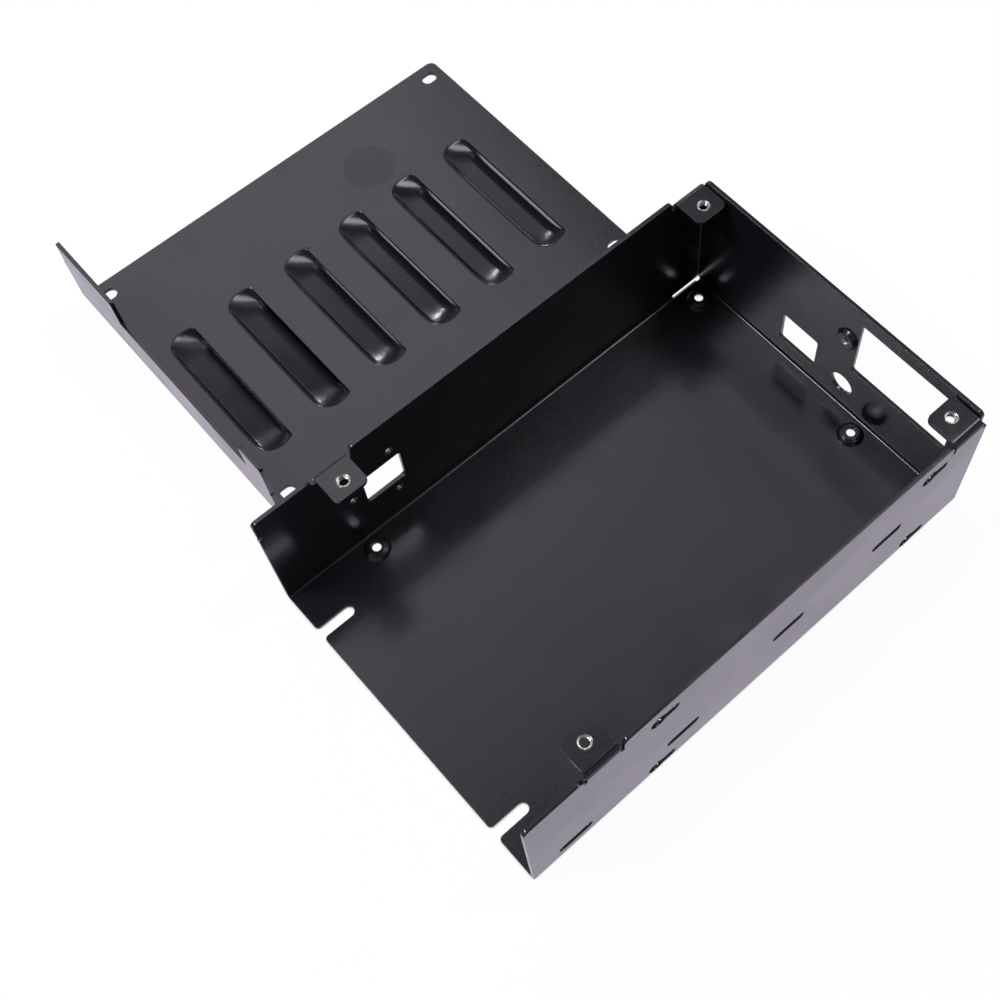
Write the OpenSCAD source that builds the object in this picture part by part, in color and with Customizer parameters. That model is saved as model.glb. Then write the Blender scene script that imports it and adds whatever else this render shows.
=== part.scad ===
// Sheet metal enclosure for an electronics board: an open tray and its louvred cover.
// The cover is off the tray and lies upside down beside it, on the lips of its louvres.
// X runs along the tray from its open front, and the tray's underside is at Z = 0.

/* [Sheet] */
// Thickness of the painted steel sheet
sheet = 1.2; // [1:0.1:1.4]
// Inside radius of the folds
fold_r = 0.8; // [0.6:0.1:1]
// Gap where two folded walls meet at a corner
corner_gap = 0.3; // [0.2:0.05:0.5]
// Width of the relief cut beside a folded tab
relief_w = 1; // [0.8:0.1:1.2]

/* [Tray] */
// Length of the tray
tray_l = 150; // [140:1:180]
// Width of the tray over its side walls
tray_w = 100; // [94:1:130]
// Height of the walls
tray_h = 47; // [44:0.5:60]
// How far the front stretch of each side wall stays below the rest
front_drop = 2; // [1:0.1:3]
// Corner radius of the wall tops
wall_corner_r = 1.6; // [0.5:0.1:2]
// Height of the small nick in the front edge of the far wall
nick_z = 37.3; // [30:0.1:38]
// Radius of that nick
nick_r = 0.9; // [0.5:0.1:1.2]
// Length of the slit in the side folds next to the end wall
slit_l = 10; // [6:0.5:14]
// Width of that slit
slit_w = 0.9; // [0.6:0.1:1.1]

/* [Cover screw tabs] */
// Width of a tab along the wall
tab_w = 10; // [8:0.1:10.2]
// Reach of a tab from the outside of its wall
tab_reach = 10.6; // [9.6:0.1:12]
// Corner radius of a tab
tab_corner_r = 2; // [1:0.1:3]
// Screw hole to the outside of the side wall
tab_hole_inset = 6.5; // [6:0.1:7]
// Front screw holes to the front edge
front_tab_x = 23.5; // [22:0.1:26]
// Back screw holes to the outside of the end wall
back_tab_x = 6.5; // [6.4:0.1:8]
// Radius of the tapped holes for the M3 screws, at the thread's crest
tap_r = 1.25; // [1.2:0.05:1.3]
// Radius of the countersink at a tapped hole in a tab
tap_sink_r = 1.75; // [1.6:0.05:2]
// Radius of the countersink at a tapped hole in a boss
boss_sink_r = 1.5; // [1.4:0.05:1.6]
// Outside radius of the drawn collar under a tapped hole
collar_r = 2.1; // [2:0.1:2.4]
// Length of that collar below the sheet
collar_h = 1; // [0.6:0.1:1.4]

/* [Board bosses] */
// Height of a drawn boss above the floor
boss_h = 1.8; // [1.6:0.1:3]
// Radius at the top of a boss
boss_top_r = 2.7; // [2.4:0.1:3]
// Radius at the foot of a boss
boss_foot_r = 3.8; // [3.6:0.1:4]
// Front bosses to the front edge
front_boss_x = 25.8; // [24:0.1:40]
// Back bosses to the outside of the end wall
back_boss_x = 6.4; // [6:0.1:20]
// Front bosses to the outside of the side walls
front_boss_y = 6.2; // [6:0.1:12]
// Far back boss to the outside of the far wall
far_boss_y = 7.2; // [6:0.1:12]
// Near back boss to the outside of the near wall
near_boss_y = 32.5; // [20:0.1:40]

/* [Floor slots] */
// Width of the open slots in the floor's front edge
foot_slot_w = 3.2; // [2.8:0.1:4.4]
// Depth of those slots
foot_slot_l = 10.7; // [6:0.1:14]
// Distance between them
foot_slot_pitch = 70; // [50:0.5:76]
// Radius at their mouths
foot_mouth_r = 0.5; // [0.3:0.1:1]

/* [End wall] */
// Width of the small window
small_win_w = 12.9; // [10:0.1:16]
// Height of the small window
small_win_h = 11.9; // [8:0.1:14]
// Middle of the small window from the tray's middle
small_win_y = 9.2; // [9:0.1:30]
// Sill of the small window above the underside
small_win_z = 7.5; // [5:0.1:12]
// Width of the large window
large_win_w = 32.5; // [20:0.1:34]
// Height of the large window
large_win_h = 22; // [10:0.1:23]
// Middle of the large window from the tray's middle
large_win_y = -25.9; // [-27:0.1:-24]
// Sill of the large window above the underside
large_win_z = 20.3; // [18:0.1:22]
// Corner radius of the windows
win_corner_r = 0.8; // [0.3:0.1:1.5]
// Radius of the cable hole
cable_r = 3.75; // [2:0.05:4.5]
// Cable hole from the tray's middle
cable_y = -7.5; // [-12:0.1:-5]
// Cable hole above the underside
cable_z = 10.7; // [8:0.1:12]
// Earth screw from the tray's middle
earth_y = -6.2; // [-6.2:0.1:0]
// Earth screw above the underside
earth_z = 32.4; // [24:0.1:36]
// Radius of the raised seat around the earth screw
earth_seat_r = 3; // [2.8:0.1:3.2]
// Radius at the foot of that seat
earth_foot_r = 3.4; // [3.3:0.1:3.6]
// Height of that seat
earth_seat_h = 1.1; // [0.8:0.1:1.4]

/* [Far wall] */
// Width of the switch window
switch_w = 12.1; // [10:0.1:14]
// Height of the switch window
switch_h = 12.5; // [8:0.1:14]
// Middle of the switch window from the front edge
switch_x = 36; // [32:0.1:60]
// Middle of the switch window above the underside
switch_z = 22.7; // [18:0.1:26]
// Radius of the small holes around the switch window
switch_hole_r = 1.25; // [1:0.05:1.6]
// Distance between the holes above and below the window
switch_pitch = 20.7; // [18.5:0.1:24]
// Those two holes forward of the window's middle
switch_pair_dx = 3.4; // [0:0.1:4]
// Side hole back from the window's middle
switch_side_dx = 9.9; // [9:0.1:12]

/* [Near wall] */
// Length of a side mounting slot
side_slot_l = 10.6; // [8:0.1:14]
// Width of a side mounting slot
side_slot_w = 3.2; // [2.8:0.1:4.4]
// Middle of the first slot from the front edge
side_slot_x = 13.6; // [12:0.1:20]
// Distance from one slot to the next
side_slot_pitch = 35; // [30:0.5:36]
// Height of the first slot
side_slot_z1 = 6.5; // [5:0.1:40]
// Height of the second slot
side_slot_z2 = 14; // [12:0.1:28]
// Height of the two back slots
side_slot_z3 = 22.5; // [12:0.1:28]
// Radius of a keyhole's round end
key_r = 2.5; // [2.2:0.1:2.6]
// Width of a keyhole's narrow end
key_slot_w = 3; // [2.4:0.1:3.4]
// Length of a keyhole
key_l = 8.8; // [8:0.1:10]
// Round end of the front keyholes from the front edge
key_x = 40; // [38:0.1:44]
// Distance from front to back keyholes
key_pitch = 90; // [80:0.5:94]
// Height of the lower keyholes
key_low_z = 4.4; // [4.4:0.1:6]
// Height of the upper keyholes
key_high_z = 40.3; // [36:0.1:41]

/* [Cover] */
// Clearance between the cover's sides and the side walls
cover_side_gap = 0.3; // [0.2:0.1:1]
// Clearance between the cover and the end wall
cover_end_gap = 0.85; // [0.2:0.05:1.2]
// Clearance between the flange and the front tabs
flange_gap = 0.1; // [0.1:0.1:0.6]
// Corner radius of the cover
cover_corner_r = 2.2; // [1:0.1:4]
// Length of a screw slot
cover_slot_l = 4.8; // [4:0.1:6]
// Width of a screw slot
cover_slot_w = 3.6; // [3.3:0.1:4]
// Middle of a screw slot forward of its tapped hole
cover_slot_dx = 0.65; // [0:0.05:0.8]
// Width of the relief notches at the ends of the flange's fold
fold_notch = 0.6; // [0.4:0.1:1]
// Depth of the flange's two long parts
flange_deep = 28.6; // [22:0.1:34]
// Depth of the flange's low middle part
flange_shallow = 18.9; // [8:0.1:20]
// Width of the flange's long part behind the near wall
flange_wide = 29.1; // [20:0.1:36]
// Width of its long part behind the far wall
flange_narrow = 9.4; // [6:0.1:16]
// How far the flange's end behind the near wall slants in at its tip
flange_slant = 2; // [0:0.1:3]
// Corner radius of the flange
flange_corner_r = 0.8; // [0.4:0.1:2]

/* [Louvres] */
// Number of louvres
louvre_count = 6; // [2:1:6]
// Distance from one louvre to the next
louvre_pitch = 20.2; // [16:0.1:20.4]
// Length of a louvre's open edge
louvre_l = 49.4; // [30:0.1:60]
// Width of a louvre from its fold to its open edge
louvre_w = 10.2; // [9:0.1:11]
// Height of a louvre's lip above the cover
louvre_h = 3.2; // [3.1:0.1:3.6]
// Last louvre's open edge from the end wall's outside
louvre_end = 14.45; // [12:0.05:20]
// Louvres off the cover's middle, towards the far wall
louvre_y = 6.3; // [0:0.1:14]
// Steepness of a louvre's back, in degrees
louvre_steep = 55; // [50:1:60]
// Slope of a louvre's roof, in degrees
louvre_slope = 10; // [8:1:10]
// Inside radius of a louvre's fold
louvre_fold_r = 0.5; // [0.4:0.1:0.8]
// Radius between a louvre's back and roof
louvre_back_r = 2; // [1:0.1:2]

/* [Cover as it lies] */
// How far forward of its fitted place the cover lies
lay_back = 5.25; // [0:0.05:40]
// Gap on the floor between the tray and the cover's near side
lay_gap = 17.1; // [5:0.1:60]

/* [Hidden] */
$fn = 48;
past = 1; // how far a cut runs past the sheet
over = 10; // how far a louvre's end runs past its open edge before it is cut, in degrees
edge_r = 0.45; // small rounding on drawn bosses
louvre_root = 0.3; // how far a louvre runs into the sheet around it
draw_wall = 0.9; // wall left by drawing a boss
nick_depth_z = 14.8; // nick in the flange's end, below the cover's top
fold_out = fold_r + sheet;
front_x = -tray_l/2;
back_x = tray_l/2;
side_y = tray_w/2;
end_inner_x = back_x - sheet;
end_half_w = side_y - sheet - corner_gap;
seat_z = tray_h - sheet;
front_top_z = tray_h - front_drop;
relief_z = seat_z - fold_out - relief_w;
tab_xs = [front_x + front_tab_x, back_x - back_tab_x];
tab_y = side_y - tab_hole_inset;
boss_places = [
    [front_x + front_boss_x, side_y - front_boss_y],
    [front_x + front_boss_x, front_boss_y - side_y],
    [back_x - back_boss_x, side_y - far_boss_y],
    [back_x - back_boss_x, near_boss_y - side_y]];
side_slot_zs = [side_slot_z1, side_slot_z2, side_slot_z3, side_slot_z3];
cover_half_w = side_y - sheet - cover_side_gap;
cover_back_x = end_inner_x - cover_end_gap;
flange_x = tab_xs[0] - tab_w/2 - flange_gap - sheet;
last_louvre_x = back_x - louvre_end;
// Rise of the louvre's inner face, so that the lip's outer face is louvre_h above the cover
louvre_rise = louvre_h + sheet - sheet/cos(louvre_slope);
// Lengths of the louvre's back and roof, from its width and rise
rest_w = louvre_w - (louvre_fold_r + sheet)*sin(louvre_steep)
    - louvre_back_r*(sin(louvre_steep) - sin(louvre_slope));
rest_h = louvre_rise - (louvre_fold_r + sheet)*(1 - cos(louvre_steep))
    - louvre_back_r*(cos(louvre_slope) - cos(louvre_steep));
back_len = (rest_h*cos(louvre_slope) - rest_w*sin(louvre_slope))/sin(louvre_steep - louvre_slope);
roof_len = (rest_w - back_len*cos(louvre_steep))/cos(louvre_slope);

// Rectangle with its low corner at p and round corners
module round_rect(p, size, r) {
    translate([p.x + r, p.y]) square([size.x - 2*r, size.y]);
    translate([p.x, p.y + r]) square([size.x, size.y - 2*r]);
    for (x = [p.x + r, p.x + size.x - r], y = [p.y + r, p.y + size.y - r])
        translate([x, y]) circle(r);
}

// Rectangle with its low corner at p and only its top corners round
module round_top(p, size, r) {
    square_h = size.y - r;
    translate(p) square([size.x, square_h]);
    translate([p.x + r, p.y]) square([size.x - 2*r, size.y]);
    for (x = [p.x + r, p.x + size.x - r]) translate([x, p.y + square_h]) circle(r);
}

// Slot along X with round ends, about the origin
module slot(l, w) {
    square([l - w, w], center = true);
    for (x = [w/2 - l/2, l/2 - w/2]) translate([x, 0]) circle(w/2);
}

// Section of a square fold about its centre, from straight down round to +X
module fold() {
    intersection() {
        difference() {
            circle(fold_out);
            circle(fold_r);
        }
        translate([0, -fold_out]) square(fold_out);
    }
}

// Section of a sheet lying along X from Y = 0 up, bent up by an angle, or down by a negative one.
// What follows is drawn from the bend's end, in its direction.
module bent(r, angle) {
    centre = angle > 0 ? sheet + r : -r;
    wide = 2*(r + sheet);
    translate([0, centre]) {
        intersection() {
            difference() {
                circle(r + sheet);
                circle(r);
            }
            translate([0, -wide]) square([wide, 2*wide]);
            rotate(angle) translate([-wide, -wide]) square([wide, 2*wide]);
        }
        rotate(angle) translate([0, -centre]) children();
    }
}

// A flat shape drawn in X and Z, given thickness t towards -Y from y
module along_side(y, t) {
    translate([0, y, 0]) rotate([90, 0, 0]) linear_extrude(t) children();
}

// A flat shape drawn in Y and Z, given thickness t towards +X from x
module along_end(x, t) {
    translate([x, 0, 0]) rotate([90, 0, 90]) linear_extrude(t) children();
}

// Cut for an M3 tapped hole through h, down from the origin, with its countersink at the top
module tapped_cut(h, sink_r) {
    sink_h = sink_r - tap_r;
    translate([0, 0, -h - past]) cylinder(r = tap_r, h = h + 2*past);
    translate([0, 0, -sink_h]) cylinder(r1 = tap_r, r2 = sink_r, h = sink_h);
    cylinder(r = sink_r, h = past);
}

// Drawn boss: foot at the sheet's upper face, height h, tapered from foot_r to top_r
module drawn_boss(h, foot_r, top_r) {
    rotate_extrude() difference() {
        polygon([[0, -sheet/2], [foot_r, -sheet/2], [foot_r, 0], [top_r, h], [0, h]]);
        translate([top_r - edge_r, h - edge_r]) difference() {
            square([2*edge_r, 2*edge_r]);
            circle(edge_r);
        }
    }
}

// Hollow under a drawn boss, and its tapped hole
module drawn_cut(h, foot_r, top_r) {
    rotate_extrude() polygon([[0, -sheet - past], [foot_r - draw_wall, -sheet - past],
        [foot_r - draw_wall, -sheet], [top_r - draw_wall, h - draw_wall], [0, h - draw_wall]]);
    translate([0, 0, h]) tapped_cut(h + sheet, boss_sink_r);
}

// Front, middle and tab stretches of a side wall, above its fold
module side_outline() {
    low = fold_out;
    translate([front_x, low]) square([tray_l, relief_z - low]);
    front_end = tab_xs[0] - tab_w/2 - relief_w;
    round_top([front_x, low], [front_end - front_x, front_top_z - low], wall_corner_r);
    main_start = tab_xs[0] + tab_w/2 + relief_w;
    main_end = tab_xs[1] - tab_w/2 - relief_w;
    round_top([main_start, low], [main_end - main_start, tray_h - low], wall_corner_r);
    for (x = tab_xs) translate([x - tab_w/2, low]) square([tab_w, seat_z - fold_out - low]);
}

module switch_cuts() {
    x = front_x + switch_x;
    round_rect([x - switch_w/2, switch_z - switch_h/2], [switch_w, switch_h], win_corner_r);
    for (side = [-1, 1])
        translate([x + switch_pair_dx, switch_z + side*switch_pitch/2]) circle(switch_hole_r);
    translate([x - switch_side_dx, switch_z]) circle(switch_hole_r);
    translate([front_x, nick_z]) circle(nick_r);
}

module side_mount_cuts() {
    for (i = [0 : len(side_slot_zs) - 1])
        translate([front_x + side_slot_x + i*side_slot_pitch, side_slot_zs[i]])
            slot(side_slot_l, side_slot_w);
    for (i = [0, 1], z = [key_low_z, key_high_z]) translate([front_x + key_x + i*key_pitch, z]) {
        circle(key_r);
        translate([0, -key_slot_w/2]) square([key_l - key_r - key_slot_w/2, key_slot_w]);
        translate([key_l - key_r - key_slot_w/2, 0]) circle(key_slot_w/2);
    }
}

// Section across the tray: floor, both folds and the foot of both walls
module side_section() {
    translate([fold_out - side_y, 0]) square([2*(side_y - fold_out), sheet]);
    for (side = [0, 1]) mirror([side, 0]) {
        translate([side_y - fold_out, fold_out]) fold();
        translate([side_y - sheet, fold_out]) square([sheet, relief_z - fold_out]);
    }
}

// Section of a side fold's outer half, which runs on to the end wall's outside
module side_tip_section() {
    for (side = [0, 1]) mirror([side, 0]) translate([side_y - fold_out, fold_out]) intersection() {
        fold();
        rotate(-45) square(fold_out);
    }
}

// Section along the tray at its end: floor, fold and the foot of the end wall
module end_section() {
    translate([back_x - 2*fold_out, 0]) square([fold_out, sheet]);
    translate([back_x - fold_out, fold_out]) fold();
    translate([end_inner_x, fold_out]) square([sheet, fold_out]);
}

// Open slot from the floor's front edge, with rounded mouth
module foot_slot_cut() {
    closed = foot_slot_l - foot_slot_w/2;
    translate([-past, -foot_slot_w/2]) square([closed + past, foot_slot_w]);
    translate([closed, 0]) circle(foot_slot_w/2);
    for (side = [-1, 1]) translate([0, side*(foot_slot_w/2 + foot_mouth_r/2)]) difference() {
        square([2*foot_mouth_r, foot_mouth_r], center = true);
        translate([foot_mouth_r, side*foot_mouth_r/2]) circle(foot_mouth_r);
    }
}

// Slit through the middle of a side fold, from the fold's centre outwards
module fold_slit_cut() {
    along_end(0, slit_l + sheet + past) rotate(-45)
        translate([0, -slit_w/2]) square([fold_out + past, slit_w]);
}

module floor_outline() {
    translate([front_x, fold_out - side_y])
        square([tray_l - fold_out, 2*(side_y - fold_out)]);
}

// Tab with its fold, on the far wall: its hole is at the origin and its top at Z = 0
module tab() {
    reach = tab_reach - tab_hole_inset;
    fold_y = tab_hole_inset - fold_out;
    difference() {
        along_end(-tab_w/2, tab_w) {
            translate([-reach, -sheet]) square([reach + fold_y, sheet]);
            translate([fold_y, -fold_out]) rotate(90) fold();
            translate([tab_hole_inset - sheet, -2*fold_out - relief_w])
                square([sheet, fold_out + relief_w]);
        }
        for (side = [0, 1]) mirror([side, 0, 0])
            translate([tab_w/2 - tab_corner_r, tab_corner_r - reach, -sheet - past])
                linear_extrude(sheet + 2*past) rotate(-90) difference() {
                    square(tab_corner_r + past);
                    circle(tab_corner_r);
                }
    }
    translate([0, 0, -sheet - collar_h]) cylinder(r = collar_r, h = collar_h + sheet/2);
}

module end_wall() {
    fold_half_w = side_y - fold_out;
    along_side(fold_half_w, 2*fold_half_w) end_section();
    along_end(end_inner_x, sheet)
        round_top([-end_half_w, fold_out], [2*end_half_w, tray_h - fold_out], wall_corner_r);
}

module end_cuts() {
    along_end(end_inner_x - 2*past, sheet + 3*past) {
        round_rect([small_win_y - small_win_w/2, small_win_z], [small_win_w, small_win_h], win_corner_r);
        round_rect([large_win_y - large_win_w/2, large_win_z], [large_win_w, large_win_h], win_corner_r);
    }
    translate([end_inner_x - past, cable_y, cable_z]) rotate([0, 90, 0])
        cylinder(r = cable_r, h = sheet + 2*past);
}

// Stands its children on the inside of the end wall, at the earth screw
module on_earth_seat() {
    translate([end_inner_x, earth_y, earth_z]) rotate([0, -90, 0]) children();
}

module tray() {
    color([0.1, 0.1, 0.11]) difference() {
        union() {
            along_end(front_x, tray_l - fold_out) side_section();
            along_end(back_x - fold_out, fold_out) side_tip_section();
            linear_extrude(sheet) floor_outline();
            for (y = [side_y, sheet - side_y]) along_side(y, sheet) side_outline();
            for (x = tab_xs, side = [0, 1]) mirror([0, side, 0]) translate([x, tab_y, seat_z]) tab();
            for (place = boss_places)
                translate([place.x, place.y, sheet]) drawn_boss(boss_h, boss_foot_r, boss_top_r);
            end_wall();
            on_earth_seat() drawn_boss(earth_seat_h, earth_foot_r, earth_seat_r);
        }
        for (place = boss_places)
            translate([place.x, place.y, sheet]) drawn_cut(boss_h, boss_foot_r, boss_top_r);
        on_earth_seat() drawn_cut(earth_seat_h, earth_foot_r, earth_seat_r);
        for (x = tab_xs, y = [-tab_y, tab_y])
            translate([x, y, seat_z]) tapped_cut(sheet + collar_h, tap_sink_r);
        for (side = [-1, 1]) translate([front_x, side*foot_slot_pitch/2, -past])
            linear_extrude(sheet + 2*past) foot_slot_cut();
        for (side = [0, 1]) mirror([0, side, 0])
            translate([end_inner_x - slit_l, side_y - fold_out, fold_out]) fold_slit_cut();
        end_cuts();
        along_side(side_y + past, sheet + 2*past) switch_cuts();
        along_side(sheet + past - side_y, sheet + 2*past) side_mount_cuts();
    }
}

// Outline of a louvre on the cover: open edge on the Y axis, fold towards -X
module louvre_outline() {
    straight = louvre_l - 2*louvre_w;
    translate([-louvre_w, -straight/2]) square([louvre_w, straight]);
    for (side = [-1, 1]) translate([0, side*straight/2]) intersection() {
        circle(louvre_w);
        translate([-louvre_w, side > 0 ? 0 : -louvre_w]) square(louvre_w);
    }
}

// Section of a louvre: distance from the open edge in X, height above the cover's inner face in Y
module louvre_section() {
    translate([louvre_w, 0]) mirror([1, 0, 0]) {
        translate([-louvre_root, 0]) square([louvre_root, sheet]);
        bent(louvre_fold_r, louvre_steep) {
            square([back_len, sheet]);
            translate([back_len, 0]) bent(louvre_back_r, louvre_slope - louvre_steep)
                square([roof_len + sheet, sheet]);
        }
    }
}

// A louvre with its open edge on the Y axis and the cover's inner face at Z = 0
module louvre() {
    straight = louvre_l - 2*louvre_w;
    reach = louvre_w + louvre_root;
    intersection() {
        union() {
            mirror([1, 0, 0]) along_side(straight/2, straight) louvre_section();
            for (side = [0, 1]) mirror([0, side, 0]) translate([0, straight/2, 0])
                rotate_extrude(start = 90 - over, angle = 90 + over) intersection() {
                    louvre_section();
                    square([reach, louvre_h + 2*sheet]);
                }
        }
        translate([-reach, -louvre_l, 0]) cube([reach, 2*louvre_l, louvre_h + 2*sheet]);
    }
}

// Flange drawn flat: Y across the cover, depth below the fold's centre towards -Y
module flange_outline() {
    deep = flange_deep - fold_out;
    shallow = flange_shallow - fold_out;
    difference() {
        union() {
            translate([-cover_half_w, -shallow]) square([2*cover_half_w, shallow]);
            round_rect([-cover_half_w, -deep], [flange_wide, deep], flange_corner_r);
            round_rect([cover_half_w - flange_narrow, -deep], [flange_narrow, deep], flange_corner_r);
        }
        translate([cover_half_w, fold_out - nick_depth_z]) circle(edge_r);
        polygon([[-cover_half_w, 0], [flange_slant - cover_half_w, -deep],
            [flange_slant - cover_half_w, -deep - past], [-cover_half_w - past, -deep - past],
            [-cover_half_w - past, 0]]);
    }
}

// Section along the cover at its flange: the top, the fold and the flange down to its low part
module flange_section() {
    fold_x = flange_x + fold_out;
    fold_z = tray_h - fold_out;
    translate([fold_x, seat_z]) square([fold_out, sheet]);
    translate([fold_x, fold_z]) rotate(180) fold();
    translate([flange_x, tray_h - flange_shallow]) square([sheet, flange_shallow - fold_out]);
}

// The cover where it is screwed down, with its top flush with the walls
module fitted_cover() {
    fold_x = flange_x + fold_out;
    fold_half_w = cover_half_w - fold_notch;
    translate([0, 0, seat_z]) linear_extrude(sheet) difference() {
        union() {
            round_rect([fold_x, -cover_half_w], [cover_back_x - fold_x, 2*cover_half_w], cover_corner_r);
            translate([fold_x, -cover_half_w]) square([2*cover_corner_r, 2*cover_half_w]);
        }
        for (x = tab_xs, y = [-tab_y, tab_y])
            translate([x - cover_slot_dx, y]) slot(cover_slot_l, cover_slot_w);
        for (i = [0 : louvre_count - 1])
            translate([last_louvre_x - i*louvre_pitch, louvre_y]) louvre_outline();
    }
    for (i = [0 : louvre_count - 1])
        translate([last_louvre_x - i*louvre_pitch, louvre_y, seat_z]) louvre();
    along_side(fold_half_w, 2*fold_half_w) flange_section();
    translate([0, 0, tray_h - fold_out]) along_end(flange_x, sheet) flange_outline();
}

// The cover as it lies: turned over about X, on the lips of its louvres
module cover() {
    color([0.1, 0.1, 0.11])
        translate([-lay_back, side_y + lay_gap + cover_half_w, tray_h + louvre_h])
            rotate([180, 0, 0]) fitted_cover();
}

tray();
cover();
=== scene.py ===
import bmesh
import bpy
import math
from mathutils import Matrix, Vector


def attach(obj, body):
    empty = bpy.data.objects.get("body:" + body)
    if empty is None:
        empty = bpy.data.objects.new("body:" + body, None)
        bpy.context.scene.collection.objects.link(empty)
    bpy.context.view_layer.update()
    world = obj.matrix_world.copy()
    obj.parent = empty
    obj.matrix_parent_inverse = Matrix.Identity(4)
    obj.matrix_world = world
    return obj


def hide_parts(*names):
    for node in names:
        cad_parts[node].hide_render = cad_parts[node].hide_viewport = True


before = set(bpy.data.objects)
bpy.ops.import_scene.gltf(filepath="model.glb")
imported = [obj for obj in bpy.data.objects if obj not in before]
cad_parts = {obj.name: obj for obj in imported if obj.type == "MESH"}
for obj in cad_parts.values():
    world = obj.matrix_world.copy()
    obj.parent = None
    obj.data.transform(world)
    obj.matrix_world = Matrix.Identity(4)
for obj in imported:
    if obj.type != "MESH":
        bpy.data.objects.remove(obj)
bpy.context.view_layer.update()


# A node's output. Sums and products of signals add their Math nodes.
class Signal:
    def __init__(self, builder, socket):
        self.builder, self.socket = builder, socket

    def math(self, operation, *others):
        inputs = dict(enumerate((self, *others)))
        return self.builder.add("ShaderNodeMath", {"operation": operation}, inputs)

    def swapped(self, operation, other):
        return self.builder.add("ShaderNodeMath", {"operation": operation}, {0: other, 1: self})

    def __add__(self, other):
        return self.math("ADD", other)

    def __sub__(self, other):
        return self.math("SUBTRACT", other)

    def __mul__(self, other):
        return self.math("MULTIPLY", other)

    def __truediv__(self, other):
        return self.math("DIVIDE", other)

    def __pow__(self, other):
        return self.math("POWER", other)

    def __rsub__(self, other):
        return self.swapped("SUBTRACT", other)

    def __rtruediv__(self, other):
        return self.swapped("DIVIDE", other)

    __radd__, __rmul__ = __add__, __mul__

    # 0 below the first value, 1 above the second, smooth between
    def between(self, low, high):
        return self.builder.add("ShaderNodeMapRange", {"interpolation_type": "SMOOTHSTEP"},
                                {"Value": self, "From Min": low, "From Max": high})


# Adds nodes to a tree: settings first, then values or links for the sockets
class Builder:
    def __init__(self, tree):
        self.tree = tree

    def add(self, kind, settings=None, inputs=None, output=0):
        node = self.tree.nodes.new(kind)
        for key, value in (settings or {}).items():
            setattr(node, key, value)
        for key, value in (inputs or {}).items():
            for item in value if isinstance(value, list) else [value]:
                self.put(node.inputs[key], item)
        return Signal(self, node.outputs[output]) if node.outputs else node

    def put(self, socket, value):
        if isinstance(value, Signal):
            self.tree.links.new(value.socket, socket)
        else:
            socket.default_value = value

    def mixColour(self, factor, low, high):
        return self.add("ShaderNodeMix", {"data_type": "RGBA"},
                        {0: factor, 6: (*low, 1), 7: (*high, 1)}, output=2)

    def clamp(self, value):
        return self.add("ShaderNodeClamp", {}, {"Value": value, "Min": 0.0, "Max": 1.0})

    def noise(self, place, size, detail, roughness):
        return self.add("ShaderNodeTexNoise", {}, {
            "Vector": place, "Scale": 1/size, "Detail": detail, "Roughness": roughness})

    def part(self, vector, side):
        return self.add("ShaderNodeSeparateXYZ", {}, {"Vector": vector}, output=side)


def newMaterial(name):
    material = bpy.data.materials.new(name)
    material.use_nodes = True
    material.node_tree.nodes.clear()
    return material, Builder(material.node_tree)


def endMaterial(build, shader):
    build.add("ShaderNodeOutputMaterial", {}, {"Surface": shader})


# The camera, fitted to the tray's edges and holes; its turn is in degrees
camera = {"lens": 53.78, "sensor": 36, "place": (-0.10888, -0.12026, 0.36601),
          "turn": (27.64735, 0.97465, -42.10767), "shift": (-0.1004, -0.05), "clip": (0.01, 20)}


def makeCamera(values):
    data = bpy.data.cameras.new("camera")
    data.sensor_width, data.lens = values["sensor"], values["lens"]
    data.shift_x, data.shift_y = values["shift"]
    data.clip_start, data.clip_end = values["clip"]
    view = bpy.data.objects.new("camera", data)
    bpy.context.collection.objects.link(view)
    view.location = values["place"]
    view.rotation_euler = [math.radians(angle) for angle in values["turn"]]
    bpy.context.scene.camera = view


makeCamera(camera)
print("camera in place")


sheetThick = 0.0012
plateTop = 0.0044   # the cover's upper face as it lies

# A pattern is its size, its detail and its own roughness. "Shown" is the stretch of it that
# shows, "Depth" its height, and "Pale" and "Rough" how far it moves colour and roughness.
paint = {"colour": (0.0072, 0.0064, 0.0090), "pale": (0.0120, 0.0109, 0.0142),
         "sheen": (0.96, 0.90, 1.0), "roughness": 0.20,
         "grain": (0.00042, 2, 0.6), "grainShown": (0.35, 0.75), "grainDepth": 0.000013,
         "grainPale": 0.45, "grainRough": 0.08,
         "peel": (0.0016, 2, 0.4), "peelDepth": 0.00002,
         "cloud": (0.020, 2, 0.5), "cloudPale": 0.25, "cloudRough": 0.20,
         "handled": (0.006, 5, 0.7), "handledShown": (0.52, 0.72), "handledRough": 0.02}
plateMark = {"place": (0.0272, 0.1445, plateTop), "radius": 0.0081, "dull": 0.13,
             "edge": (0.94, 1.03)}   # the share of the radius where its edge fades
steel = {"colour": (0.78, 0.77, 0.75), "dull": (0.45, 0.44, 0.43), "roughness": 0.28,
         "cut": (0.0004, 3, 0.6), "cutShown": (0.4, 0.7), "cutRough": 0.2}


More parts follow.
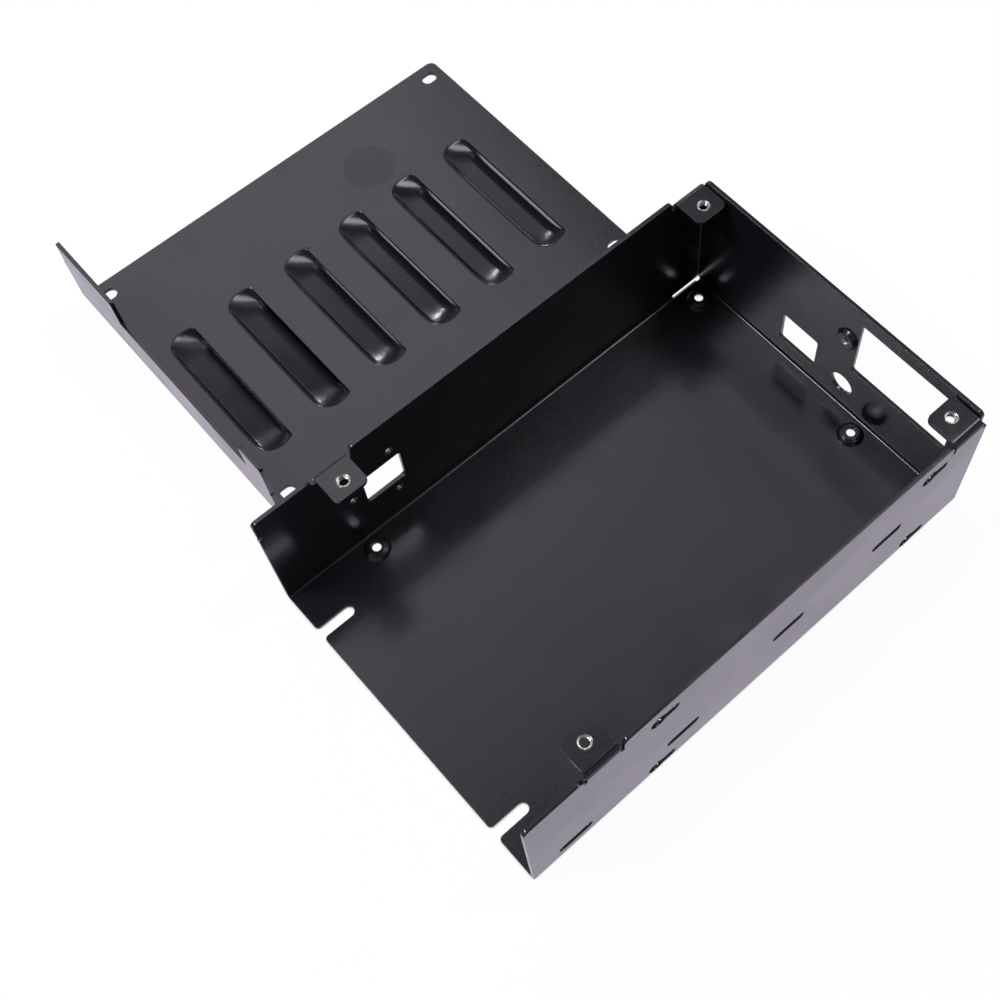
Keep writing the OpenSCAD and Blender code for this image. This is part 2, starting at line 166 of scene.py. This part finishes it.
# Satin black powder coat: fine grain, a little orange peel and soft cloudy wear
def paintMaterial(name, values, mark=None):
    material, build = newMaterial(name)
    place = build.add("ShaderNodeTexCoord", output="Object")
    grain, peel, cloud, handled = (build.noise(place, *values[pattern])
                                   for pattern in ("grain", "peel", "cloud", "handled"))
    handled = handled.between(*values["handledShown"])
    pale = grain.between(*values["grainShown"]) * values["grainPale"] + cloud * values["cloudPale"]
    rough = (values["roughness"] + (cloud - 0.5) * values["cloudRough"]
             + handled * values["handledRough"] + (grain - 0.5) * values["grainRough"])
    if mark:   # a faint dull round
        off = build.add("ShaderNodeVectorMath", {"operation": "DISTANCE"},
                        {0: place, 1: mark["place"]}, output="Value")
        low, high = (mark["radius"] * share for share in mark["edge"])
        rough = rough + (1 - off.between(low, high)) * mark["dull"]
    coarse = build.add("ShaderNodeBump", {}, {
        "Height": peel, "Distance": values["peelDepth"], "Strength": 1.0})
    fine = build.add("ShaderNodeBump", {}, {
        "Height": grain, "Distance": values["grainDepth"], "Strength": 1.0, "Normal": coarse})
    endMaterial(build, build.add("ShaderNodeBsdfPrincipled", {}, {
        "Base Color": build.mixColour(pale, values["colour"], values["pale"]),
        "Roughness": rough, "Normal": fine, "IOR": 1.5, "Specular Tint": (*values["sheen"], 1)}))
    return material


# Bare steel left in the tapped holes, brighter where the tap has cut
def steelMaterial(name, values):
    material, build = newMaterial(name)
    place = build.add("ShaderNodeTexCoord", output="Object")
    cut = build.noise(place, *values["cut"])
    bright = cut.between(*values["cutShown"])
    endMaterial(build, build.add("ShaderNodeBsdfPrincipled", {}, {
        "Base Color": build.mixColour(bright, values["dull"], values["colour"]),
        "Metallic": 1.0, "Roughness": values["roughness"] + (cut - 0.5) * values["cutRough"]}))
    return material


trayPaint = paintMaterial("trayPaint", paint)
coverPaint = paintMaterial("coverPaint", paint, plateMark)
bareSteel = steelMaterial("bareSteel", steel)
print("finishes made")


# A tree's named inputs, as signals in the order given
def newTree(name, inputs, result):
    tree = bpy.data.node_groups.new(name, "GeometryNodeTree")
    for title, kind in inputs.items():
        tree.interface.new_socket(title, in_out="INPUT", socket_type="NodeSocket" + kind)
    tree.interface.new_socket(result, in_out="OUTPUT", socket_type="NodeSocketGeometry")
    build = Builder(tree)
    return build, [build.add("NodeGroupInput", output=title) for title in inputs]


# Sets the shape on each point of the mesh, as real faces of one material
def endTree(build, mesh, shape, material, inputs=None):
    points = build.add("GeometryNodeMeshToPoints", {}, {"Mesh": mesh})
    row = build.add("GeometryNodeInstanceOnPoints", {}, {
        "Points": points, "Instance": shape, **(inputs or {})})
    real = build.add("GeometryNodeRealizeInstances", {}, {"Geometry": row})
    done = build.add("GeometryNodeSetMaterial", {}, {"Geometry": real, "Material": material})
    build.add("NodeGroupOutput", {}, {0: done})
    return build.tree


def newMaker(name, mesh):
    maker = bpy.data.objects.new(name, mesh)
    bpy.context.collection.objects.link(maker)
    return maker


# Puts a tree on the maker, with each input that the values name
def addTree(maker, tree, values):
    modifier = maker.modifiers.new(tree.name, "NODES")
    modifier.node_group = tree
    for item in tree.interface.items_tree:
        if item.in_out == "INPUT" and item.name in values:
            modifier[item.identifier] = values[item.name]


def meshFrom(shape, name):
    mesh = bpy.data.meshes.new(name)
    shape.to_mesh(mesh)
    shape.free()
    return mesh


# The maker's result as a plain mesh. The maker goes, with its modifiers.
def plainCopy(maker, name):
    evaluated = maker.evaluated_get(bpy.context.evaluated_depsgraph_get())
    mesh = bpy.data.meshes.new_from_object(evaluated)
    mesh.name = name
    bpy.data.objects.remove(maker)
    return newMaker(name, mesh)


# The louvres: "widest" is where along its width a louvre is longest, "border" the flat
# metal around it, "slitEnd" the stretch of the slit that isn't broken off at each end
louvres = {"slitFirst": -0.0457, "slitPitch": 0.0202, "slitCount": 6,
           "middle": 0.1093, "top": plateTop, "length": 0.0494, "width": 0.0102,
           "depth": 0.0032, "sheet": sheetThick, "roofSlope": 0.25, "foldRound": 0.0018,
           "domeLength": 0.0095, "domePower": 2.5, "endRound": 0.0060, "slitRound": 0.0016,
           "widest": 0.45, "border": 0.0014, "columns": 56, "rows": 104,
           "slitEnd": 0.0016, "lipEnd": 0.0035, "bevel": 0.0001, "cutterHeight": 0.02,
           "sharpLip": 1.0}   # the turn, in radians, past which an edge is a sharp lip
louvreSizes = ("length", "width", "depth", "sheet", "roofSlope", "foldRound", "domeLength",
               "endRound", "slitRound", "widest", "border")
slitPlaces = [round(louvres["slitFirst"] + louvres["slitPitch"] * number, 4)
              for number in range(louvres["slitCount"])]
samePlace = 1e-5   # vertices as near as this count as on the same line
mergeWithin = 2e-6
nearlyFlat = 0.5   # faces that turn less than this, in degrees, are one flat


# One louvre pressed down out of flat sheet, as a height over a grid: a sloping roof,
# a soft fold and domed ends, open along its slit
def louvreTree(values):
    kinds = {"mesh": "Geometry", **dict.fromkeys(louvreSizes, "Float")}
    build, inputs = newTree("louvreRow", kinds, "louvres")
    (mesh, length, width, depth, sheet, slope, foldRound, domeLength, endRound, slitRound,
     widest, border) = inputs
    wide, long = width + border, length + border * 2
    grid = build.add("GeometryNodeMeshGrid", {}, {
        "Size X": wide, "Size Y": long,
        "Vertices X": values["columns"], "Vertices Y": values["rows"]})
    place = build.add("GeometryNodeInputPosition")
    across, along = wide / 2 - build.part(place, 0), build.part(place, 1).math("ABSOLUTE")
    belly = width * widest
    toFold, toSlit = (across - belly) / (width - belly), (belly - across) / belly
    foldSide, slitSide = (1 - build.clamp(1 - build.clamp(share) ** 2) ** 0.5
                          for share in (toFold, toSlit))
    reach = length / 2 - foldSide * endRound - slitSide * slitRound
    dome = 1 - (1 - build.clamp((reach - along) / domeLength)) ** values["domePower"]
    fold = ((width - across) / foldRound).between(0, 1)
    drop = (depth - across * slope) * dome * fold
    sunk = build.add("GeometryNodeSetPosition", {}, {
        "Geometry": grid,
        "Offset": build.add("ShaderNodeCombineXYZ", {}, {"X": wide * -0.5, "Z": drop * -1})})
    thick = build.add("GeometryNodeExtrudeMesh", {"mode": "FACES"}, {
        "Mesh": sunk, "Individual": False,
        "Offset": build.add("ShaderNodeCombineXYZ", {}, {"Z": sheet * -1})})
    under = build.add("GeometryNodeFlipFaces", {}, {"Mesh": thick})
    both = build.add("GeometryNodeJoinGeometry", {}, {0: [sunk, under]})
    closed = build.add("GeometryNodeMergeByDistance", {}, {
        "Geometry": both, "Distance": mergeWithin / 2})
    return endTree(build, mesh, closed, coverPaint)


def louvreRow(values):
    mesh = bpy.data.meshes.new("louvreSlits")
    mesh.from_pydata([(x, values["middle"], values["top"]) for x in slitPlaces], [], [])
    maker = newMaker("louvreMaker", mesh)
    addTree(maker, louvreTree(values), values)
    return plainCopy(maker, "louvreRow")


# A louvre's width and half its length, with the flat metal around it
def windowSize(values):
    return values["width"] + values["border"], values["length"] / 2 + values["border"]


# The windows that the louvres fill, as blocks to cut with
def windowCutter(values):
    shape = bmesh.new()
    wide, half = windowSize(values)
    size = Matrix.Diagonal((wide, 2 * half, values["cutterHeight"], 1))
    for x in slitPlaces:
        place = Matrix.Translation((x - wide / 2, values["middle"], 0))
        bmesh.ops.create_cube(shape, size=1, matrix=place @ size)
    return newMaker("windows", meshFrom(shape, "windows"))


# A copy of a mesh, with its loose triangles joined
def joinedShape(mesh):
    shape = bmesh.new()
    shape.from_mesh(mesh)
    bmesh.ops.remove_doubles(shape, verts=shape.verts, dist=mergeWithin)
    return shape


# The same with each flat as one face
def flatShape(mesh):
    shape = joinedShape(mesh)
    bmesh.ops.dissolve_limit(shape, angle_limit=math.radians(nearlyFlat),
                             verts=shape.verts, edges=shape.edges)
    return shape


def coverWithWindows(values):
    mesh = meshFrom(joinedShape(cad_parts["cover"].data), "coverWindows")
    maker, cutter = newMaker("coverMaker", mesh), windowCutter(values)
    cut = maker.modifiers.new("cut", "BOOLEAN")
    cut.operation, cut.solver, cut.object = "DIFFERENCE", "EXACT", cutter
    piece = plainCopy(maker, "coverWindows")
    bpy.data.objects.remove(cutter)
    return piece


# What both sheets have, and the tray's foot slots and tapped holes
sheetMetal = {"sheet": sheetThick, "bevel": 0.00012, "creaseAngle": 32, "shadeAngle": 40,
              "slotAt": 0.035, "slotHalf": 0.0016, "frontEdge": -0.075,
              "mouthRound": 0.0005, "mouthGrow": 2.4,
              "tabX": (-0.0515, 0.0685), "tabY": (-0.0435, 0.0435), "tabTop": 0.0458,
              "earthAt": (0.0727, -0.0062, 0.0324), "boreDepth": 0.0032, "boreOver": 0.0004,
              "bareOver": 0.0002, "bareRadius": 0.0018, "slack": 0.0001}
thread = {"rootRadius": 0.00152, "crestRadius": 0.00125, "pitch": 0.0005,
          "tabDepth": 0.0019, "earthDepth": 0.0009}
tabHoles = [((x, y, sheetMetal["tabTop"]), (0, 0, 1))
            for x in sheetMetal["tabX"] for y in sheetMetal["tabY"]]
earthHole = [(sheetMetal["earthAt"], (-1, 0, 0))]


# How far a point lies off a hole's axis, as a vector, and along it from the hole's mouth
def fromAxis(point, hole):
    top, axis = Vector(hole[0]), Vector(hole[1])
    along = (point - top).dot(axis)
    return (point - top) - axis * along, along


# The foot slots' mouths are broken off rounder than the solid's
def roundMouths(shape, values):
    grow = values["mouthGrow"] - 1
    for vert in shape.verts:
        off = vert.co.y - math.copysign(values["slotAt"], vert.co.y)
        deep, beside = vert.co.x - values["frontEdge"], abs(off) - values["slotHalf"]
        inRound = (min(deep, beside) > -samePlace
                   and max(deep, beside) < values["mouthRound"] + samePlace)
        if inRound and vert.co.z < values["sheet"] + values["slack"]:
            vert.co.x += deep * grow
            vert.co.y += math.copysign(beside * grow, off)


# The taps cut the bores out to the threads' roots
def openBores(shape, holes, values):
    for hole in holes:
        for vert in shape.verts:
            off, along = fromAxis(vert.co, hole)
            onBore = off.length < thread["crestRadius"] + values["slack"]
            if onBore and -values["boreDepth"] < along < values["boreOver"]:
                vert.co += off.normalized() * (thread["rootRadius"] - off.length)


# The threads' metal is bare, and so is the rim of each bore
def bareBores(shape, holes, values):
    for face in shape.faces:
        for hole in holes:
            places = [fromAxis(vert.co, hole) for vert in face.verts]
            if all(-values["boreDepth"] < along < values["bareOver"]
                   and off.length < values["bareRadius"] for off, along in places):
                face.material_index = 1


# Splits a window's rim at the slit's ends, so that the slit alone gets a bevel
def splitSlitEnds(shape, values):
    for x in slitPlaces:
        for end in (-1, 1):
            rim = (values["length"] / 2 - values["slitEnd"]) * end + values["middle"]
            near = [face for face in shape.faces
                    if any(abs(vert.co.x - x) < samePlace for vert in face.verts)]
            parts = dict.fromkeys(part for face in near
                                  for part in (face, *face.edges, *face.verts))
            bmesh.ops.bisect_plane(shape, geom=list(parts), dist=1e-7, plane_co=(0, rim, 0),
                                   plane_no=(0, 1, 0))


# Whether an edge lies on the rim of a louvre's window, its slit left out
def inWindow(edge, values):
    wide, half = windowSize(values)
    middle = (edge.verts[0].co + edge.verts[1].co) / 2
    off = abs(middle.y - values["middle"])
    onSlit = any(abs(vert.co.x - x) < samePlace for x in slitPlaces for vert in edge.verts)
    if onSlit and off < values["length"] / 2 - values["slitEnd"]:
        return False
    return off < half + samePlace and any(
        x - wide - samePlace < middle.x < x + samePlace for x in slitPlaces)


def bevelEdges(shape, edges, width, **settings):
    bmesh.ops.bevel(shape, geom=edges, offset=width, segments=2, profile=0.5, affect="EDGES",
                    **settings)


def sharpEdges(shape, values):
    crease = math.radians(values["creaseAngle"])
    return [edge for edge in shape.edges if edge.is_manifold and edge.calc_face_angle(0) > crease]


# A soft shade over the rounds, with the sheet's flats kept flat beside its edges
def finishSheet(shape, name, materials, values):
    for face in shape.faces:
        face.smooth = True
    mesh = meshFrom(shape, name)
    for material in materials:
        mesh.materials.append(material)
    mesh.set_sharp_from_angle(angle=math.radians(values["shadeAngle"]))
    maker = newMaker(name + "Maker", mesh)
    normals = maker.modifiers.new("flatFaces", "WEIGHTED_NORMAL")
    normals.mode, normals.weight, normals.keep_sharp = "FACE_AREA", 100, True
    return plainCopy(maker, name)


# The lip is a louvre's long free edge, beside its slit
def onLip(edge, values):
    ends = [vert.co for vert in edge.verts]
    return (edge.calc_face_angle(0) > values["sharpLip"]
            and all(min(abs(end.x - x) for x in slitPlaces) < samePlace for end in ends)
            and abs(ends[0].y - ends[1].y) > samePlace
            and min(abs(end.y - values["middle"]) for end in ends)
            < values["length"] / 2 - values["lipEnd"])


def addLouvres(shape, values):
    row = louvreRow(values)
    part = bmesh.new()
    part.from_mesh(row.data)
    bevelEdges(part, [edge for edge in part.edges if onLip(edge, values)], values["bevel"])
    shape.from_mesh(meshFrom(part, "louvreRow"))
    bpy.data.objects.remove(row)


def makeTray(values):
    holes = tabHoles + earthHole
    shape = flatShape(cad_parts["tray"].data)
    roundMouths(shape, values)
    openBores(shape, holes, values)
    bevelEdges(shape, sharpEdges(shape, values), values["bevel"],
               clamp_overlap=False, loop_slide=True)
    bareBores(shape, holes, values)
    return finishSheet(shape, "trayBody", (trayPaint, bareSteel), values)


def makeCover(values):
    plate = coverWithWindows(louvres)
    shape = flatShape(plate.data)
    bpy.data.objects.remove(plate)
    splitSlitEnds(shape, louvres)
    sharp = [edge for edge in sharpEdges(shape, values) if not inWindow(edge, louvres)]
    bevelEdges(shape, sharp, values["bevel"], clamp_overlap=False, loop_slide=True)
    addLouvres(shape, louvres)
    return finishSheet(shape, "coverBody", (coverPaint,), values)


trayBody = makeTray(sheetMetal)
coverBody = makeCover(sheetMetal)
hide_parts("tray")
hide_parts("cover")
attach(trayBody, "root")
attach(coverBody, "root")
print("sheets made", len(trayBody.data.polygons), len(coverBody.data.polygons))


# A coil of triangular thread, set at each hole along its axis
def threadTree():
    kinds = {"mesh": "Geometry", "rootRadius": "Float", "crestRadius": "Float",
             "pitch": "Float", "depth": "Float"}
    build, (holes, root, crest, pitch, depth) = newTree("threadCoils", kinds, "threads")
    size = (root - crest) / 1.5   # a triangle's height is 1.5 times its circle's radius
    middle = crest + size
    spiral = build.add("GeometryNodeCurveSpiral", {}, {
        "Resolution": 28, "Rotations": depth / pitch, "Start Radius": middle,
        "End Radius": middle, "Height": depth, "Reverse": False})
    upright = build.add("GeometryNodeSetCurveNormal", {"mode": "Z_UP"}, {"Curve": spiral})
    profile = build.add("GeometryNodeCurvePrimitiveCircle", {"mode": "RADIUS"}, {
        "Resolution": 3, "Radius": size})
    turned = build.add("GeometryNodeTransform", {}, {
        "Geometry": profile, "Rotation": (0, 0, math.pi)})
    coil = build.add("GeometryNodeCurveToMesh", {}, {
        "Curve": upright, "Profile Curve": turned, "Fill Caps": True})
    lowered = build.add("GeometryNodeTransform", {}, {
        "Geometry": coil,
        "Translation": build.add("ShaderNodeCombineXYZ", {}, {"Z": depth * -1})})
    axis = build.add("GeometryNodeInputNamedAttribute", {"data_type": "FLOAT_VECTOR"}, {
        "Name": "axis"})
    turn = build.add("FunctionNodeAlignRotationToVector", {"axis": "Z"}, {"Vector": axis})
    return endTree(build, holes, lowered, bareSteel, {"Rotation": turn})


def threadsAt(name, holes, depth, tree, values):
    mesh = bpy.data.meshes.new(name + "Holes")
    mesh.from_pydata([top for top, axis in holes], [], [])
    axes = mesh.attributes.new("axis", "FLOAT_VECTOR", "POINT")
    for item, (top, axis) in zip(axes.data, holes):
        item.vector = axis
    maker = newMaker(name + "Maker", mesh)
    addTree(maker, tree, {**values, "depth": depth})
    piece = plainCopy(maker, name)
    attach(piece, "root")
    return piece


coils = threadTree()
tabThreads = threadsAt("tabThreads", tabHoles, thread["tabDepth"], coils, thread)
earthThread = threadsAt("earthThread", earthHole, thread["earthDepth"], coils, thread)
print("threads made", len(tabThreads.data.polygons), len(earthThread.data.polygons))


# The white room. "contact" is how far the painted contact shade reaches from what stands on the
# floor.
# "under" is the part of the floor below the louvres, where painted shade darkens the floor's
# colour and deepens that contact shade, so that the slits show it as dark. The sky's pairs are a
# height and how brightly the room glows there.
studio = {"floorColour": (0.86, 0.86, 0.865), "mirrored": (0.915, 0.860, 1.0),
          "floorSize": 12.0, "floorShare": 0.95, "contact": 0.0008,
          "underContact": 0.012, "underPaintedShade": 0.5, "underPower": 2,
          "underLow": (-0.060, 0.078), "underHigh": (0.062, 0.140),
          "sky": ((0.03, 1.0), (0.12, 0.10), (0.40, 0.10), (0.50, 0.90), (0.58, 0.90),
                  (0.65, 0.08))}
lamps = {"keyLight": {"glow": 38.0, "size": (0.44, 0.18),
                      "place": (-0.63, 0.38, 1.05), "aim": (0.07, 0.02, 0)},
         "windowBox": {"glow": 1.80, "size": (0.76, 0.66),
                       "place": (0.18, 0.78, 1.0), "aim": (0.18, 0.10, 0)},
         "ceilingBox": {"glow": 1.0, "size": (0.86, 0.26),
                        "place": (0.13, 0.32, 1.0), "aim": (0.13, 0.32, 0)},
         "overBox": {"glow": 8.0, "size": (0.53, 0.36),
                     "place": (0.485, -0.12, 1.05), "aim": (0.485, -0.12, 0)},
         "cornerSpot": {"glow": 60.0, "size": (0.08, 0.08),
                        "place": (0.74, 0.96, 0.54), "aim": (0, 0.10, 0)}}


# 1 for what the camera, mirrors and glass look at, 0 for what lights the object
def seenByEye(build):
    rays = [build.add("ShaderNodeLightPath", output=ray)
            for ray in ("Is Camera Ray", "Is Glossy Ray", "Is Transmission Ray")]
    return sum(rays).math("MINIMUM", 1.0)


def makeFloor(values):
    half = values["floorSize"] / 2
    mesh = bpy.data.meshes.new("floor")
    mesh.from_pydata([(-half, -half, 0), (half, -half, 0), (half, half, 0), (-half, half, 0)],
                     [], [(0, 1, 2, 3)])
    floor = newMaker("floor", mesh)
    material, build = newMaterial("floorWhite")
    lookedAt = build.add("ShaderNodeLightPath", output="Is Camera Ray")
    place = build.add("ShaderNodeTexCoord", output="Object")
    under = 1
    for side in (0, 1):
        at = build.part(place, side)
        under = (under * at.math("GREATER_THAN", values["underLow"][side])
                 * at.math("LESS_THAN", values["underHigh"][side]))
    # Painted contact shade: ambient occlusion dims the floor's white glow near what stands on it,
    # reaching further and deeper below the louvres
    reach = under * (values["underContact"] - values["contact"]) + values["contact"]
    clear = build.add("ShaderNodeAmbientOcclusion", {"samples": 8}, {"Distance": reach}, output=1)
    share = (seenByEye(build) * clear ** (under * values["underPower"] + 1)
             * values["floorShare"])
    # Painted shade: the floor's colour is darkened below the cover's louvres
    matt = build.add("ShaderNodeBsdfDiffuse", {}, {
        "Color": build.mixColour(under * values["underPaintedShade"], values["floorColour"], (0, 0, 0))})
    white = build.add("ShaderNodeEmission", {}, {
        "Color": build.mixColour(lookedAt, values["mirrored"], (1, 1, 1))})
    endMaterial(build, build.add("ShaderNodeMixShader", {}, {0: share, 1: matt, 2: white}))
    mesh.materials.append(material)


def makeWorld(values):
    world = bpy.data.worlds.new("studio")
    bpy.context.scene.world = world
    world.use_nodes = True
    world.node_tree.nodes.clear()
    build = Builder(world.node_tree)
    height = build.part(build.add("ShaderNodeTexCoord", output="Generated"), 2)
    glow = values["sky"][0][1]
    for (low, dim), (high, bright) in zip(values["sky"], values["sky"][1:]):
        glow = height.between(low, high) * (bright - dim) + glow
    sky = build.add("ShaderNodeBackground", {}, {"Color": (1, 1, 1, 1), "Strength": glow})
    build.add("ShaderNodeOutputWorld", {}, {"Surface": sky})


# A soft box whose face glows evenly, where 1 is white
def makeLamp(name, values):
    data = bpy.data.lights.new(name, "AREA")
    data.shape, data.size, data.size_y = "RECTANGLE", *values["size"]
    data.energy = values["glow"] * math.pi * values["size"][0] * values["size"][1]
    lamp = newMaker(name, data)
    lamp.location = values["place"]
    away = Vector(values["place"]) - Vector(values["aim"])
    lamp.rotation_euler = away.to_track_quat("Z", "Y").to_euler()


makeFloor(studio)
makeWorld(studio)
for name, values in lamps.items():
    makeLamp(name, values)
bpy.context.scene.view_settings.view_transform = "Standard"
print("studio ready")
